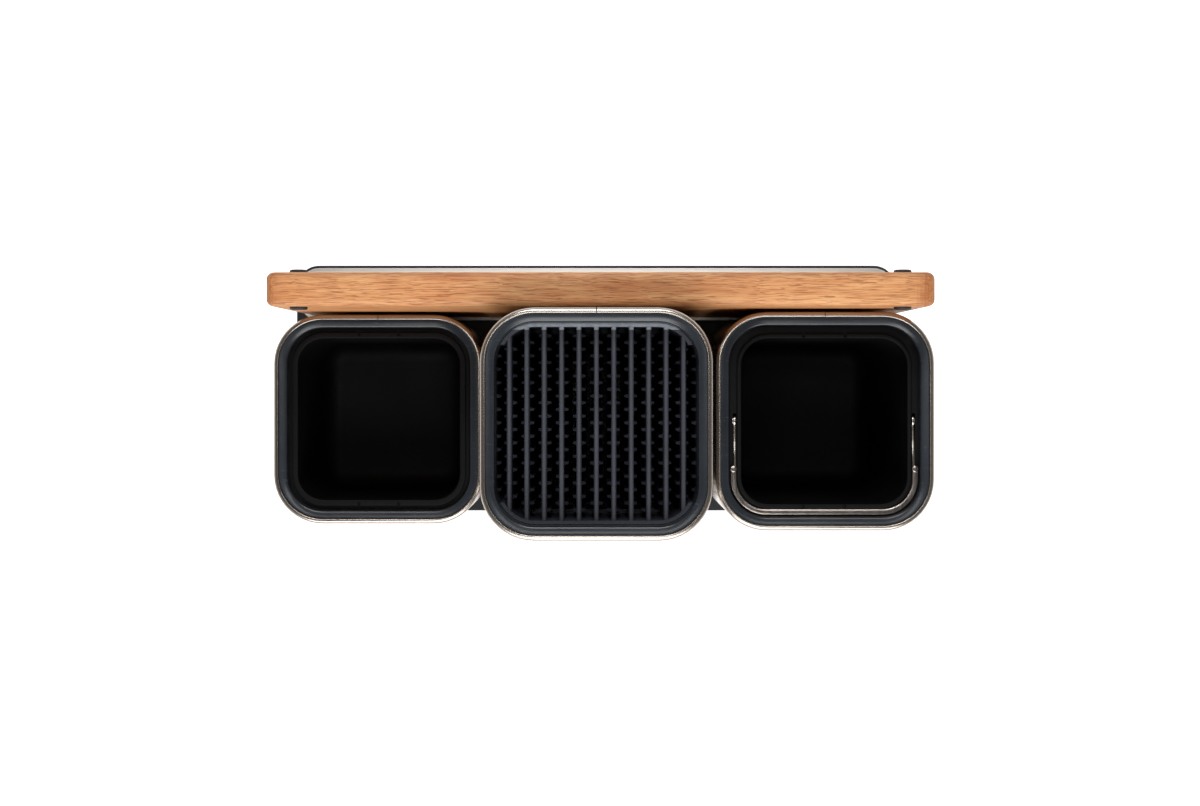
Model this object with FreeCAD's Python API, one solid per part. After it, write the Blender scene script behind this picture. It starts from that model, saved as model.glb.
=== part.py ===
import FreeCAD, Part
import math
import os

# Kitchen organiser: three steel-sleeved cups and an upright cutting board on one base plate.
# Millimetres. X runs left to right, Y front to back, Z up. The origin lies on the ground under
# the middle of the base plate.

V = FreeCAD.Vector
up = V(0, 0, 1)

# Base
base_length = 403.5
base_corner = 15.0
base_edge_break = 0.6
foot_height = 2.5
base_thickness = 9.5
cover_thickness = 2.0
cover_inset = 3.0
bay_rim = 1.6
bay_depth = 2.5
tray_sheet = 0.8
tray_lip = 2.3

# Cups
cup_count = 3
cup_gap = 5.6
cup_end_setback = 4.15
cup_front_setback = 0.1
cup_corner = 30.0
left_height = 125.0
centre_height = 243.0
right_height = 176.0
sheet = 1.0
hem_roll = 2.0
hem_height = 8.0
hem_break = 1.0
hem_inner_break = 0.9
seam_gap = 0.5

# Collars
collar_gap = 0.1
collar_width = 4.9
collar_recess = 1.0
collar_fall = 1.3
collar_edge_break = 0.9
collar_depth = 20.0
collar_skirt = 2.0
ledge_drop = 8.0
ledge_width = 1.8
ledge_thickness = 2.2

# Floor caps inside the sleeves
cap_floor = 3.0
cap_skirt_height = 8.0
cap_wall = 2.0
cap_boss = 9.0
cap_boss_setback = 22.0
cap_rib = 2.4
cap_rib_setback = 8.0

# Removable liners
lift_gap = 0.3
flange_thickness = 1.6
rim_rise = 1.8
liner_wall = 1.8
liner_floor = 2.0
liner_draft = 2.2
liner_bevel = 2.6
liner_ground_gap = 2.0
left_step = 6.4
right_step = 7.4
opening_corner = 16.0
left_rim_width = 3.8
right_rim_width = 2.7
notch_spacing = 24.4
notch_width = 1.5
notch_depth = 2.4

# Bail handle of the right liner
bail_width = 3.4
bail_thickness = 1.6
bail_rest_gap = 0.2
bail_side_gap = 0.3
bail_fold = 28.0
bail_pivot_drop = 10.2
bail_eye_radius = 3.7
bail_arm = 1.4
bail_arm_height = 4.4
bail_arm_inset = 0.1
bail_arm_lap = 2.0
bail_knuckle_radius = 2.1
bail_knuckle_rise = 0.3
bail_knuckle_bulge = 0.4
bail_slot_gap = 0.4
bail_slot_front = 3.0
rivet_radius = 1.5
rivet_running_gap = 0.08
rivet_head_radius = 2.6
rivet_head = 0.6
rivet_head_gap = 0.05
pivot_boss_radius = 3.5

# Knife core and its insert
core_wall = 2.2
core_top_drop = 10.0
insert_drop = 13.0
insert_wall = 2.0
insert_floor = 3.0
fin_count = 11
outer_fin_setback = 7.65
fin_thickness = 2.66
fin_top_bevel = 0.6
teeth_in_long_row = 14
tooth_end_setback = 4.56
end_wall_depth = 12.0
tooth_reach = 2.45
tooth_root = 2.2
tooth_tip = 1.1
tooth_top_drop = 18.0
tooth_slope = 1.4
tooth_foot = 8.0
tooth_sink = 0.2
bar_heights = (175.0, 110.0)
bar_reach = 2.4
bar_height = 3.0
bar_gap = 0.1
fin_end_gap = 0.1
drain_width = 4.0
drain_length = 38.0
drain_spread = 8.0

# Cutting board
board_end_setback = 11.55
board_shift = 2.4
board_thickness = 19.5
board_height = 197.0
board_corner = 6.0
board_edge_round = 3.0
board_gap = 2.0
board_foot_radius = 5.1
board_foot_reach = 1.7
board_foot_inset = 17.5
board_foot_edge = 10.0

# Fence behind the board
fence_setback = 5.0
fence_end_setback = 40.2
fence_thickness = 3.0
fence_height = 42.0
fence_round = 2.0
fence_foot_depth = 8.4
fence_foot_height = 10.3
fence_gusset = 3.0
fence_gusset_setback = 10.0
fence_gusset_count = 5

# Base feet and screws
foot_radius = 9.0
foot_edge = 18.0
screw_radius = 1.7
screw_length = 11.5
screw_head_radius = 3.4
screw_head = 2.2
screw_head_gap = 0.3
screw_pilot_gap = 0.05
screw_hole_gap = 0.1
screw_tip_cover = 1.0

# How far a cutting body passes the face that it opens, how far past an opening its own rim is
# looked for, and how closely a picked edge must match its level
over = 1.0
edge_margin = 0.5
pick_tolerance = 0.01

# Three cups in a row fill the length, and the depth holds a cup, the board and its fence.
cup_pitch = (base_length - 2 * cup_end_setback + cup_gap) / cup_count
cup_size = cup_pitch - cup_gap
board_bay = 2 * board_gap + board_thickness + fence_foot_depth + fence_setback
base_depth = cup_front_setback + cup_size + board_bay
board_length = base_length - 2 * board_end_setback
fence_length = board_length - 2 * fence_end_setback

# Levels and places that follow from the sizes above
base_top = foot_height + base_thickness
bay_floor = base_top - bay_depth
tray_top = bay_floor + tray_sheet
cup_half = cup_size / 2
cup_y = -base_depth / 2 + cup_front_setback + cup_half
cup_back = cup_y + cup_half
cups = {
    "left": (-cup_pitch, left_height),
    "centre": (0.0, centre_height),
    "right": (cup_pitch, right_height),
}
hem_inset = sheet + hem_roll
collar_outer = cup_half - hem_inset - collar_gap
collar_inner = collar_outer - collar_width
ledge_inner = collar_inner - ledge_width
cap_top = base_top + cap_skirt_height
flange_outer = collar_inner - lift_gap
left_opening = 2 * (collar_inner - left_step)
right_opening = 2 * (collar_inner - right_step)
insert_half = collar_inner - lift_gap
insert_inner = insert_half - insert_wall
fin_pitch = 2 * (collar_inner - outer_fin_setback) / (fin_count - 1)
tooth_pitch = 2 * (insert_inner - tooth_end_setback) / (teeth_in_long_row - 1)
clear_of_end_walls = insert_half - end_wall_depth - tooth_root / 2
insert_bottom = cap_top
fin_bottom = insert_bottom + insert_floor
fin_top = centre_height - insert_drop
tooth_top = fin_top - tooth_top_drop
board_front = cup_back + board_gap
board_back = board_front + board_thickness
fence_front = board_back + board_gap
fence_gusset_pitch = (fence_length - 2 * fence_gusset_setback) / (fence_gusset_count - 1)
screw_seat = cap_top - screw_tip_cover - screw_length


def corner_at(half):
    # Corners stay concentric with the sleeve's outer corner.
    return cup_corner - (cup_half - half)


def outline(half_x, half_y, radius, z, x=0.0, y=0.0):
    k = radius * math.sqrt(0.5)
    cx = half_x - radius
    cy = half_y - radius
    edges = []
    for sx, sy, flip in ((1, 1, False), (-1, 1, True), (-1, -1, False), (1, -1, True)):
        on_x = V(x + sx * half_x, y + sy * cy, z)
        mid = V(x + sx * (cx + k), y + sy * (cy + k), z)
        on_y = V(x + sx * cx, y + sy * half_y, z)
        start, end = (on_y, on_x) if flip else (on_x, on_y)
        edges.append(Part.Arc(start, mid, end).toShape())
    lines = []
    for i, arc in enumerate(edges):
        after = edges[(i + 1) % 4]
        lines.append(arc)
        lines.append(Part.makeLine(arc.lastVertex().Point, after.firstVertex().Point))
    return Part.Wire(lines)


def block(half_x, half_y, radius, z0, z1, x=0.0, y=0.0):
    face = Part.Face(outline(half_x, half_y, radius, z0, x, y))
    return face.extrude(V(0, 0, z1 - z0))


def square_block(half, radius, z0, z1, x=0.0, y=0.0):
    return block(half, half, radius, z0, z1, x, y)


def wedge(x0, y0, x1, y1, z0, z1):
    # Flat-sided block that measures 2 * x0 by 2 * y0 below and 2 * x1 by 2 * y1 above.
    solid = Part.makeWedge(-x0, 0, -y0, -y1, -x1, x0, z1 - z0, y0, y1, x1)
    solid.rotate(V(0, 0, 0), V(1, 0, 0), 90)
    solid.translate(V(0, 0, z0))
    return solid


def leaning(half0, middle0, half1, middle1, z0, z1, corner, x, y):
    # Two crossed wedges carry the flat sides, and one corner is turned into all four.
    across = wedge(half0, middle0, half1, middle1, z0, z1)
    parts = [wedge(middle0, half0, middle1, half1, z0, z1)]
    for turn in (0, 90, 180, 270):
        turned = corner.copy()
        turned.rotate(V(0, 0, 0), up, turn)
        parts.append(turned)
    body = across.fuse(parts).removeSplitter()
    body.translate(V(x, y, 0))
    return body


def funnel(half0, half1, radius1, z0, z1, x, y):
    # Rounded square with concentric corners, so each corner is a quarter cone.
    middle = half1 - radius1
    radius0 = half0 - middle
    corner = Part.makeCone(radius0, radius1, z1 - z0, V(middle, middle, z0), up, 90)
    return leaning(half0, middle, half1, middle, z0, z1, corner, x, y)


def drafted(half0, half1, radius, z0, z1, x, y):
    # Rounded square whose corners keep their radius: a quarter disc pushed along a slope.
    middle = half0 - radius
    k = middle + radius * math.sqrt(0.5)
    start = V(half0, middle, z0)
    end = V(middle, half0, z0)
    hub = V(middle, middle, z0)
    arc = Part.Arc(start, V(k, k, z0), end).toShape()
    sector = Part.Face(Part.Wire([Part.makeLine(hub, start), arc, Part.makeLine(end, hub)]))
    lean = half1 - half0
    corner = sector.extrude(V(lean, lean, z1 - z0))
    return leaning(half0, middle, half1, half1 - radius, z0, z1, corner, x, y)


def box(x0, x1, y0, y1, z0, z1):
    return Part.makeBox(x1 - x0, y1 - y0, z1 - z0, V(x0, y0, z0))


def rod(radius, z0, z1, x, y):
    return Part.makeCylinder(radius, z1 - z0, V(x, y, z0), up)


def cross_rod(radius, x0, x1, y, z):
    return Part.makeCylinder(radius, x1 - x0, V(x0, y, z), V(1, 0, 0))


def level_edges(shape, z):
    found = []
    for edge in shape.Edges:
        bounds = edge.BoundBox
        if abs(bounds.ZMin - z) < pick_tolerance and abs(bounds.ZMax - z) < pick_tolerance:
            found.append(edge)
    return found


def inside(edges, half, x, y):
    # Edges that stay within a square of the given half size around x, y.
    found = []
    for edge in edges:
        b = edge.BoundBox
        reach = max(b.XMax - x, x - b.XMin, b.YMax - y, y - b.YMin)
        if reach < half:
            found.append(edge)
    return found


def export(name, shape):
    shape.exportStep("parts/" + name + ".step")
    print(name, len(shape.Solids), "solids", round(shape.Volume / 1000, 2), "cm3", shape.isValid())


def screw_places():
    half = cup_half - cap_boss_setback
    return [(x + side * half, cup_y) for x, _ in cups.values() for side in (-1, 1)]


def fence_screw_places():
    # One screw between the two outer gussets at each end.
    x = (fence_gusset_count / 2 - 1) * fence_gusset_pitch
    y = fence_front + fence_foot_depth / 2
    return [(-x, y), (x, y)]


def foot_places():
    x = base_length / 2 - foot_edge
    y = base_depth / 2 - foot_edge
    return [(sx * x, sy * y) for sx in (-1, 0, 1) for sy in (-1, 1)]


# The board bay is a shallow pocket behind the cups, framed by a narrow rim.
bay_half_x = base_length / 2 - bay_rim
bay_y0 = cup_back + collar_gap
bay_y1 = base_depth / 2 - bay_rim
bay_half_y = (bay_y1 - bay_y0) / 2
bay_y = (bay_y1 + bay_y0) / 2
bay_corner = base_corner - bay_rim


def base_plate():
    half_x = base_length / 2
    half_y = base_depth / 2
    plate = block(half_x, half_y, base_corner, foot_height, base_top)
    plate = plate.makeChamfer(base_edge_break, level_edges(plate, base_top))
    plate = plate.cut(block(bay_half_x, bay_half_y, bay_corner, bay_floor, base_top + over, 0, bay_y))
    plate = plate.cut(block(half_x - cover_inset, half_y - cover_inset, base_corner - cover_inset,
                            foot_height - over, foot_height + cover_thickness))
    head = screw_head_radius + screw_head_gap
    for x, y in screw_places() + fence_screw_places():
        plate = plate.cut(rod(head, foot_height, screw_seat, x, y))
        plate = plate.cut(rod(screw_radius + screw_hole_gap, screw_seat - over, base_top + over, x, y))
    return plate


def base_cover():
    gap = collar_gap
    half_x = base_length / 2 - cover_inset - gap
    half_y = base_depth / 2 - cover_inset - gap
    radius = base_corner - cover_inset - gap
    return block(half_x, half_y, radius, foot_height, foot_height + cover_thickness)


def base_feet():
    # Pads, bonded under the cover.
    return Part.makeCompound([rod(foot_radius, 0, foot_height, x, y) for x, y in foot_places()])


def drip_tray():
    gap = collar_gap
    top = bay_floor + tray_lip
    tray = block(bay_half_x - gap, bay_half_y - gap, bay_corner - gap, bay_floor, top, 0, bay_y)
    well = gap + tray_sheet
    tray = tray.cut(block(bay_half_x - well, bay_half_y - well, bay_corner - well,
                          tray_top, top + over, 0, bay_y))
    for x, y in fence_screw_places():
        tray = tray.cut(rod(screw_radius + screw_hole_gap, 0, top, x, y))
    return tray


def board_fence():
    half = fence_length / 2
    y0 = fence_front
    foot_top = tray_top + fence_foot_height
    top = tray_top + fence_height
    foot = box(-half, half, y0, y0 + fence_foot_depth, tray_top, foot_top)
    wall = box(-half, half, y0, y0 + fence_thickness, tray_top, top)
    fence = foot.fuse(wall)
    for k in range(fence_gusset_count):
        x = (k - (fence_gusset_count - 1) / 2) * fence_gusset_pitch
        corners = [V(x - fence_gusset / 2, y0 + fence_thickness, foot_top),
                   V(x - fence_gusset / 2, y0 + fence_foot_depth, foot_top),
                   V(x - fence_gusset / 2, y0 + fence_thickness, top - fence_thickness)]
        web = Part.Face(Part.makePolygon(corners + corners[:1])).extrude(V(fence_gusset, 0, 0))
        fence = fence.fuse(web)
    fence = fence.removeSplitter()
    ends = [e for e in level_edges(fence, top) if e.BoundBox.YLength > fence_thickness / 2]
    fence = fence.makeFillet(fence_round, ends)
    for x, y in fence_screw_places():
        fence = fence.cut(rod(screw_radius + screw_pilot_gap, 0, screw_seat + screw_length, x, y))
    return fence


def assembly_screws():
    screws = []
    for x, y in screw_places() + fence_screw_places():
        shank = rod(screw_radius, screw_seat, screw_seat + screw_length, x, y)
        head = rod(screw_head_radius, screw_seat - screw_head, screw_seat, x, y)
        screws.append(head.fuse(shank).removeSplitter())
    return Part.makeCompound(screws)


def sleeve(x, height):
    # Folded sheet with a hemmed top edge and one open butt seam at the back.
    wall = square_block(cup_half, cup_corner, base_top, height, x, cup_y)
    inner = cup_half - sheet
    hem_inner = cup_half - hem_inset
    hem_low = height - hem_height
    wall = wall.makeChamfer(hem_break, level_edges(wall, height))
    wall = wall.cut(square_block(inner, corner_at(inner), base_top - over, hem_low, x, cup_y))
    wall = wall.cut(square_block(hem_inner, corner_at(hem_inner), base_top - over, height + over,
                                 x, cup_y))
    rim = inside(level_edges(wall, height), hem_inner + edge_margin, x, cup_y)
    wall = wall.makeChamfer(hem_inner_break, rim)
    half_seam = seam_gap / 2
    seam = box(x - half_seam, x + half_seam, cup_back - hem_inset - over, cup_back + over,
               base_top - over, height + over)
    return wall.cut(seam)


def collar(x, height, with_ledge):
    top = height - collar_recess
    inner_top = top - collar_fall
    low = height - collar_depth
    ledge_top = height - ledge_drop
    ledge_low = ledge_top - ledge_thickness
    outer = corner_at(collar_outer)
    inner = corner_at(collar_inner)
    skirt = collar_outer - collar_skirt
    ring = square_block(collar_outer, outer, low, top, x, cup_y)
    ring = ring.cut(funnel(collar_inner, collar_outer, outer, inner_top, top, x, cup_y))
    through = ledge_top if with_ledge else low - over
    ring = ring.cut(square_block(collar_inner, inner, through, inner_top, x, cup_y))
    under = height - core_top_drop
    if with_ledge:
        ring = ring.cut(square_block(ledge_inner, corner_at(ledge_inner), low - over,
                                     ledge_top, x, cup_y))
        under = ledge_low
    ring = ring.cut(square_block(skirt, corner_at(skirt), low - over, under, x, cup_y))
    rim = inside(level_edges(ring, inner_top), collar_inner + edge_margin, x, cup_y)
    return ring.makeChamfer(collar_edge_break, rim)


def floor_cap(x):
    outer = cup_half - sheet - collar_gap
    inner = outer - cap_wall
    web_low = base_top + cap_floor / 2
    rib_reach = collar_inner - cap_rib_setback
    cap = square_block(outer, corner_at(outer), base_top, cap_top, x, cup_y)
    cap = cap.cut(square_block(inner, corner_at(inner), base_top + cap_floor, cap_top + over,
                               x, cup_y))
    # Each screw boss stands in the middle of a rib that carries what rests in the cup.
    for side in (-1, 1):
        px = x + side * (cup_half - cap_boss_setback)
        for half_x, half_y in ((cap_rib / 2, rib_reach), (cap_boss / 2, cap_boss / 2)):
            cap = cap.fuse(box(px - half_x, px + half_x, cup_y - half_y, cup_y + half_y,
                               web_low, cap_top))
        cap = cap.cut(rod(screw_radius + screw_pilot_gap, base_top - over,
                          screw_seat + screw_length, px, cup_y))
    return cap.removeSplitter()


def liner(x, height, opening, rim_width):
    # A tapered pot that hangs by its stepped flange on the collar's ledge.
    half = opening / 2
    bottom = cap_top + liner_ground_gap
    flange_low = height - ledge_drop
    flange_top = flange_low + flange_thickness
    rim_top = flange_top + rim_rise
    outside = half + liner_wall
    pot = drafted(outside - liner_draft, outside, opening_corner + liner_wall, bottom, flange_top,
                  x, cup_y)
    pot = pot.makeChamfer(liner_bevel, level_edges(pot, bottom))
    flange = square_block(flange_outer, corner_at(flange_outer), flange_low, flange_top, x, cup_y)
    rim_half = half + rim_width
    rim = square_block(rim_half, opening_corner + rim_width, flange_low, rim_top, x, cup_y)
    pot = pot.fuse(flange).fuse(rim)
    floor_top = bottom + liner_floor
    hollow = drafted(half - liner_draft, half, opening_corner, floor_top, rim_top, x, cup_y)
    hollow = hollow.makeChamfer(liner_bevel, level_edges(hollow, floor_top))
    pot = pot.cut(hollow).removeSplitter()
    for sx in (-1, 1):
        for sy in (-1, 1):
            px = x + sx * notch_spacing / 2
            y0 = cup_y + sy * (rim_half - notch_depth)
            y1 = cup_y + sy * (rim_half + over)
            pot = pot.cut(box(px - notch_width / 2, px + notch_width / 2, min(y0, y1), max(y0, y1),
                              flange_top, rim_top + over))
    return pot


# The bail lies in the step around the right liner's rim. All places are from the cup's centre.
bail_inner = right_opening / 2 + right_rim_width + bail_side_gap
bail_outer = bail_inner + bail_width
arm_inner = bail_inner + bail_arm_inset
arm_outer = arm_inner + bail_arm
bail_low = right_height - ledge_drop + flange_thickness + bail_rest_gap
bail_top = bail_low + bail_thickness
pivot_z = right_height - bail_pivot_drop
pivot_x = cups["right"][0]


def right_bucket():
    x = pivot_x
    pot = liner(x, right_height, right_opening, right_rim_width)
    flange_low = right_height - ledge_drop
    flange_top = flange_low + flange_thickness
    wall_outer = right_opening / 2 + liner_wall
    slot_y0 = cup_y - bail_fold - bail_slot_front
    slot_y1 = cup_y + bail_eye_radius + 2 * bail_slot_gap
    for side in (-1, 1):
        a = x + side * (arm_inner - bail_slot_gap / 2)
        b = x + side * (arm_outer + bail_slot_gap)
        pot = pot.cut(box(min(a, b), max(a, b), slot_y0, slot_y1, flange_low - over,
                          flange_top))
        start = x + side * (wall_outer - liner_wall / 2)
        end = x + side * (arm_inner - bail_slot_gap / 2)
        boss = cross_rod(pivot_boss_radius, min(start, end), max(start, end), cup_y, pivot_z)
        boss = boss.cut(box(x - cup_half, x + cup_half, cup_y - cup_half, cup_y + cup_half,
                            flange_low, right_height))
        pot = pot.fuse(boss)
    return pot.cut(cross_rod(rivet_radius, x - cup_half, x + cup_half, cup_y, pivot_z))


def bail_handle():
    x = pivot_x
    bow = square_block(bail_outer, corner_at(bail_outer), bail_low, bail_top, x, cup_y)
    well = square_block(bail_inner, corner_at(bail_inner), bail_low - over, bail_top + over, x, cup_y)
    bow = bow.cut(well)
    bow = bow.common(box(x - cup_half, x + cup_half, cup_y - cup_half, cup_y - bail_fold,
                         bail_low - over, bail_top + over))
    for side in (-1, 1):
        a = x + side * arm_inner
        b = x + side * arm_outer
        x0 = min(a, b)
        reach = bail_fold + bail_arm_lap
        corners = [V(x0, cup_y - reach, bail_top), V(x0, cup_y - reach, bail_low),
                   V(x0, cup_y, pivot_z - bail_arm_height / 2),
                   V(x0, cup_y, pivot_z + bail_arm_height / 2)]
        arm = Part.Face(Part.makePolygon(corners + corners[:1])).extrude(V(bail_arm, 0, 0))
        eye = cross_rod(bail_eye_radius, x0, x0 + bail_arm, cup_y, pivot_z)
        knuckle = rod(bail_knuckle_radius, bail_low, bail_top + bail_knuckle_rise,
                      x + side * (bail_inner + bail_width / 2), cup_y - bail_fold)
        bulge = bail_outer + bail_knuckle_bulge
        knuckle = knuckle.common(square_block(bulge, corner_at(bulge), bail_low - over,
                                              bail_top + over, x, cup_y))
        bow = bow.fuse(arm).fuse(eye).fuse(knuckle.cut(well))
    bow = bow.removeSplitter()
    return bow.cut(cross_rod(rivet_radius + rivet_running_gap, x - cup_half, x + cup_half,
                             cup_y, pivot_z))


def bail_rivets():
    rivets = []
    for side in (-1, 1):
        inner = pivot_x + side * (right_opening / 2)
        outer = pivot_x + side * (arm_outer + rivet_head_gap)
        tip = outer + side * rivet_head
        shank = cross_rod(rivet_radius, min(inner, outer), max(inner, outer), cup_y, pivot_z)
        head = cross_rod(rivet_head_radius, min(outer, tip), max(outer, tip), cup_y, pivot_z)
        rivets.append(shank.fuse(head).removeSplitter())
    return Part.makeCompound(rivets)


def tooth_places(shifted):
    # One row of teeth stands half a pitch off the next.
    count = teeth_in_long_row - 1 if shifted else teeth_in_long_row
    start = -(count - 1) / 2 * tooth_pitch
    return [start + i * tooth_pitch for i in range(count)]


def tooth_prism(face_x, direction, y):
    root = face_x - direction * tooth_sink
    tip = root + direction * tooth_reach
    z = fin_bottom + tooth_foot
    corners = [V(root, y - tooth_root / 2, z), V(tip, y - tooth_tip / 2, z),
               V(tip, y + tooth_tip / 2, z), V(root, y + tooth_root / 2, z)]
    return Part.Face(Part.makePolygon(corners + corners[:1])).extrude(V(0, 0, tooth_top - z))


def tooth_wedge(face_x, direction, y0, y1):
    # What is cut off a row of teeth so that their tops slope up to the fin's face.
    out = direction * (tooth_reach + over)
    fall = tooth_slope * (tooth_reach + over) / tooth_reach
    corners = [V(face_x, y0, tooth_top), V(face_x + out, y0, tooth_top),
               V(face_x + out, y0, tooth_top - fall)]
    return Part.Face(Part.makePolygon(corners + corners[:1])).extrude(V(0, y1 - y0, 0))


def insert_well(z0, z1, gap=0.0):
    half = insert_inner - gap
    return square_block(half, corner_at(half), z0, z1, 0, cup_y)


def bars(reach, gap):
    # Two level bars on each end wall locate the ends of the fins.
    half = (fin_count - 2) / 2 * fin_pitch
    found = []
    for z in bar_heights:
        for side in (-1, 1):
            near = cup_y + side * (insert_inner - reach - gap)
            far = cup_y + side * (insert_inner + insert_wall / 2)
            found.append(box(-half, half, min(near, far), max(near, far),
                             z - bar_height - gap, z + gap))
    return found


def knife_fin(index):
    x = (index - (fin_count - 1) / 2) * fin_pitch
    half = fin_thickness / 2
    reach = insert_inner + over
    bevel = fin_top_bevel
    profile = [V(x - half, 0, fin_bottom), V(x + half, 0, fin_bottom),
               V(x + half, 0, fin_top - bevel), V(x + half - bevel, 0, fin_top),
               V(x - half + bevel, 0, fin_top), V(x - half, 0, fin_top - bevel)]
    blade = Part.Face(Part.makePolygon(profile + profile[:1])).extrude(V(0, 2 * reach, 0))
    blade.translate(V(0, cup_y - reach, 0))
    outermost = index in (0, fin_count - 1)
    teeth = []
    for y in tooth_places(index % 2 == 1):
        if outermost and abs(y) > clear_of_end_walls:
            continue
        for side in (-1, 1):
            teeth.append(tooth_prism(x + side * half, side, cup_y + y))
    row = Part.makeCompound(teeth)
    for side in (-1, 1):
        row = row.cut(tooth_wedge(x + side * half, side, cup_y - reach, cup_y + reach))
    fin = blade.common(insert_well(fin_bottom, fin_top, fin_end_gap))
    fin = fin.fuse(row.Solids).removeSplitter()
    return fin.cut(bars(bar_reach, bar_gap))


def insert_end_wall(side):
    ring = square_block(insert_half, corner_at(insert_half), insert_bottom, fin_top, 0, cup_y)
    ring = ring.cut(insert_well(insert_bottom - over, fin_top + over))
    near = cup_y + side * (insert_half - end_wall_depth)
    far = cup_y + side * (insert_half + over)
    wall = ring.common(box(-cup_half, cup_half, min(near, far), max(near, far), 0, centre_height))
    for bar in bars(bar_reach, 0.0):
        if (bar.CenterOfMass.y - cup_y) * side > 0:
            wall = wall.fuse(bar.common(square_block(insert_half, corner_at(insert_half), 0,
                                                     fin_top, 0, cup_y)))
    return wall.removeSplitter()


def knife_insert_floor():
    plate = insert_well(insert_bottom, fin_bottom, fin_end_gap)
    for k in range(fin_count - 1):
        x = (k - (fin_count - 2) / 2) * fin_pitch
        for side in (-1, 1):
            middle = cup_y + side * (drain_length + drain_spread) / 2
            plate = plate.cut(box(x - drain_width / 2, x + drain_width / 2,
                                  middle - drain_length / 2, middle + drain_length / 2,
                                  insert_bottom - over, fin_bottom + over))
    return plate


def knife_core():
    outer = collar_inner + core_wall
    low = base_top + cap_floor
    top = centre_height - core_top_drop
    core = square_block(outer, corner_at(outer), low, top, 0, cup_y)
    core = core.cut(square_block(collar_inner, corner_at(collar_inner), low - over, top + over,
                                 0, cup_y))
    teeth = []
    for y in tooth_places(True):
        if abs(y) > clear_of_end_walls:
            continue
        for side in (-1, 1):
            teeth.append(tooth_prism(-side * collar_inner, side, cup_y + y))
    row = Part.makeCompound(teeth)
    reach = insert_inner
    for side in (-1, 1):
        row = row.cut(tooth_wedge(-side * collar_inner, side, cup_y - reach, cup_y + reach))
    return core.fuse(row.Solids).removeSplitter()


def board_foot_places():
    x = board_length / 2 - board_foot_inset
    low = tray_top + board_foot_edge
    high = tray_top + board_height - board_foot_edge
    return [(board_shift + sx * x, z) for sx in (-1, 1) for z in (low, high)]


def cutting_board():
    # What three crossed slabs share, so every edge is rounded.
    half = board_length / 2
    half_y = board_thickness / 2
    half_z = board_height / 2
    from_front = block(half, half_z, board_corner, -half_y, half_y)
    from_front.rotate(V(0, 0, 0), V(1, 0, 0), 90)
    from_end = block(half_z, half_y, board_edge_round, -half, half)
    from_end.rotate(V(0, 0, 0), V(0, 1, 0), 90)
    from_above = block(half, half_y, board_edge_round, -half_z, half_z)
    board = from_front.common(from_end).common(from_above)
    board.translate(V(board_shift, board_back - half_y, tray_top + half_z))
    return board


def board_feet(side):
    # Pads, bonded to one face of the board near its corners.
    face = board_front if side < 0 else board_back
    out = V(0, side, 0)
    feet = []
    for x, z in board_foot_places():
        feet.append(Part.makeCylinder(board_foot_radius, board_foot_reach, V(x, face, z), out))
    return Part.makeCompound(feet)


os.makedirs("parts", exist_ok=True)

export("base_plate", base_plate())
export("base_cover", base_cover())
export("base_feet", base_feet())
export("drip_tray", drip_tray())
export("board_fence", board_fence())
export("assembly_screws", assembly_screws())
for side_name, (cup_x, cup_height) in cups.items():
    export(side_name + "_sleeve", sleeve(cup_x, cup_height))
    export(side_name + "_collar", collar(cup_x, cup_height, side_name != "centre"))
    export(side_name + "_floor_cap", floor_cap(cup_x))
export("left_liner", liner(cups["left"][0], left_height, left_opening, left_rim_width))
export("right_bucket", right_bucket())
export("bail_handle", bail_handle())
export("bail_rivets", bail_rivets())
export("knife_core", knife_core())
export("knife_insert_floor", knife_insert_floor())
export("knife_insert_front_wall", insert_end_wall(-1))
export("knife_insert_rear_wall", insert_end_wall(1))
for number in range(fin_count):
    export("knife_fin_%02d" % (number + 1), knife_fin(number))
export("cutting_board", cutting_board())
export("board_front_feet", board_feet(-1))
export("board_rear_feet", board_feet(1))
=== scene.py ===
import bpy, bmesh, math
from mathutils import Matrix, Vector


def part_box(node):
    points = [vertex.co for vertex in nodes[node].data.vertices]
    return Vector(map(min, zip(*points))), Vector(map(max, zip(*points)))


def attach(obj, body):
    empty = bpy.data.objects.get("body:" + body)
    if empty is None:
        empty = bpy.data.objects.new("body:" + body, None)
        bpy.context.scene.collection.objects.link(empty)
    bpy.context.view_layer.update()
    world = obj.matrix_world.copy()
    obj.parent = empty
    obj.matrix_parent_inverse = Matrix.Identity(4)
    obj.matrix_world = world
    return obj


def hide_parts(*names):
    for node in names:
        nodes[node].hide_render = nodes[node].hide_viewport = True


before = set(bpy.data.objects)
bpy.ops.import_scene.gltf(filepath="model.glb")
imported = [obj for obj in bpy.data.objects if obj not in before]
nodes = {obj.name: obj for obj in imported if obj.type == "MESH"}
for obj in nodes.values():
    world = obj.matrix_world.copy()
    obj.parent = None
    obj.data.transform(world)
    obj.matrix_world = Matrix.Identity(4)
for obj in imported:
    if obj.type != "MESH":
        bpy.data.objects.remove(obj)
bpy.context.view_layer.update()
mm = 0.001
# two heights this close are one, and edges that turn by these angles in radians are sharp or square
touching, sharpTurn, squareTurn = 1e-6, 0.5, 1.0
print("frame loaded:", len(nodes), "nodes")


def linear(red, green, blue):
    # 0-255 screen colour to the linear values that shaders take
    def one(c):
        c /= 255
        return c / 12.92 if c <= 0.04045 else ((c + 0.055) / 1.055) ** 2.4
    return (one(red), one(green), one(blue), 1)


def addNode(tree, kind, place=(0, 0), **values):
    node = tree.nodes.new(kind)
    node.location = place
    for key, value in values.items():
        setattr(node, key, value)
    return node


def setInputs(node, **values):
    for name, value in values.items():
        node.inputs[name.replace("_", " ")].default_value = value


def mathNode(tree, operation, first, second, place=(0, 0)):
    return mathWith(tree, operation, (first, second), place)


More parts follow.
